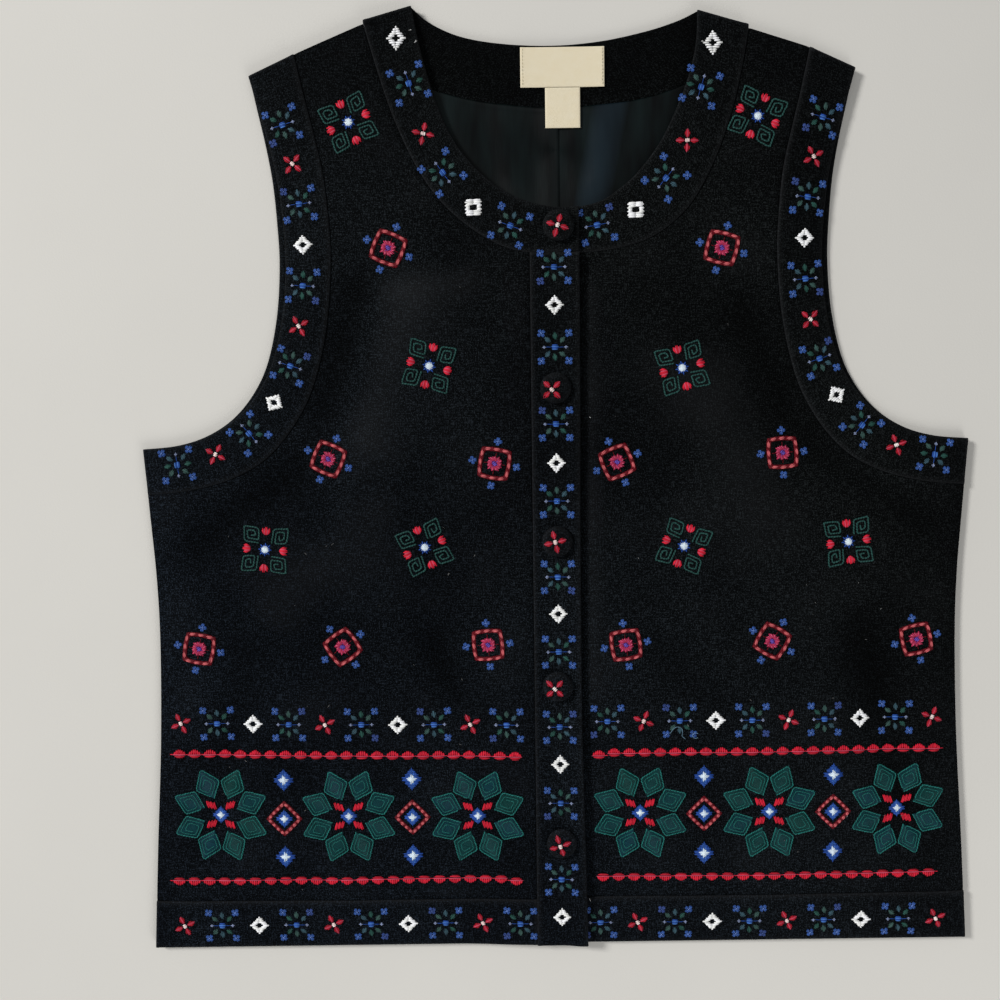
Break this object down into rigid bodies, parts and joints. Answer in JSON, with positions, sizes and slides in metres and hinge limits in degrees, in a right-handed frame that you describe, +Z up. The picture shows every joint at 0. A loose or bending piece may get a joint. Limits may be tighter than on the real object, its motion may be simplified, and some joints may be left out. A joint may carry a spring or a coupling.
{
  "type": "embroidered vest",
  "caption": "Sleeveless button-front vest laid flat, with shaped neck, armhole and hem bands, a lapped placket, covered buttons, a lined back neck and folk embroidery on the front.",
  "frame": {"origin": "on the table, under the middle of the vest's width and length", "axes": "+X to the right of someone looking down at the front, +Y towards the neck, +Z up off the table"},
  "size_m": [0.492, 0.5525, 0.0161],
  "materials": {
    "wool_crepe": "matt black wool crepe, embroidered on the front",
    "satin_lining": "dark satin",
    "woven_tape": "cream woven tape"
  },
  "bodies": {
    "root": {"back": "wool_crepe", "front_right": "wool_crepe", "front_left": "wool_crepe", "placket_top": "wool_crepe", "placket_under": "wool_crepe", "neck_band_right": "wool_crepe", "neck_band_left": "wool_crepe", "neck_band_back": "wool_crepe", "armhole_band_right_front": "wool_crepe", "armhole_band_left_front": "wool_crepe", "armhole_band_right_back": "wool_crepe", "armhole_band_left_back": "wool_crepe", "hem_band_right": "wool_crepe", "hem_band_left": "wool_crepe", "hem_band_back": "wool_crepe", "back_neck_facing": "wool_crepe", "back_lining": "satin_lining", "label": "woven_tape", "size_tab": "woven_tape", "button_1": "wool_crepe", "button_2": "wool_crepe", "button_3": "wool_crepe", "button_4": "wool_crepe", "button_5": "wool_crepe"}
  },
  "joints": []
}
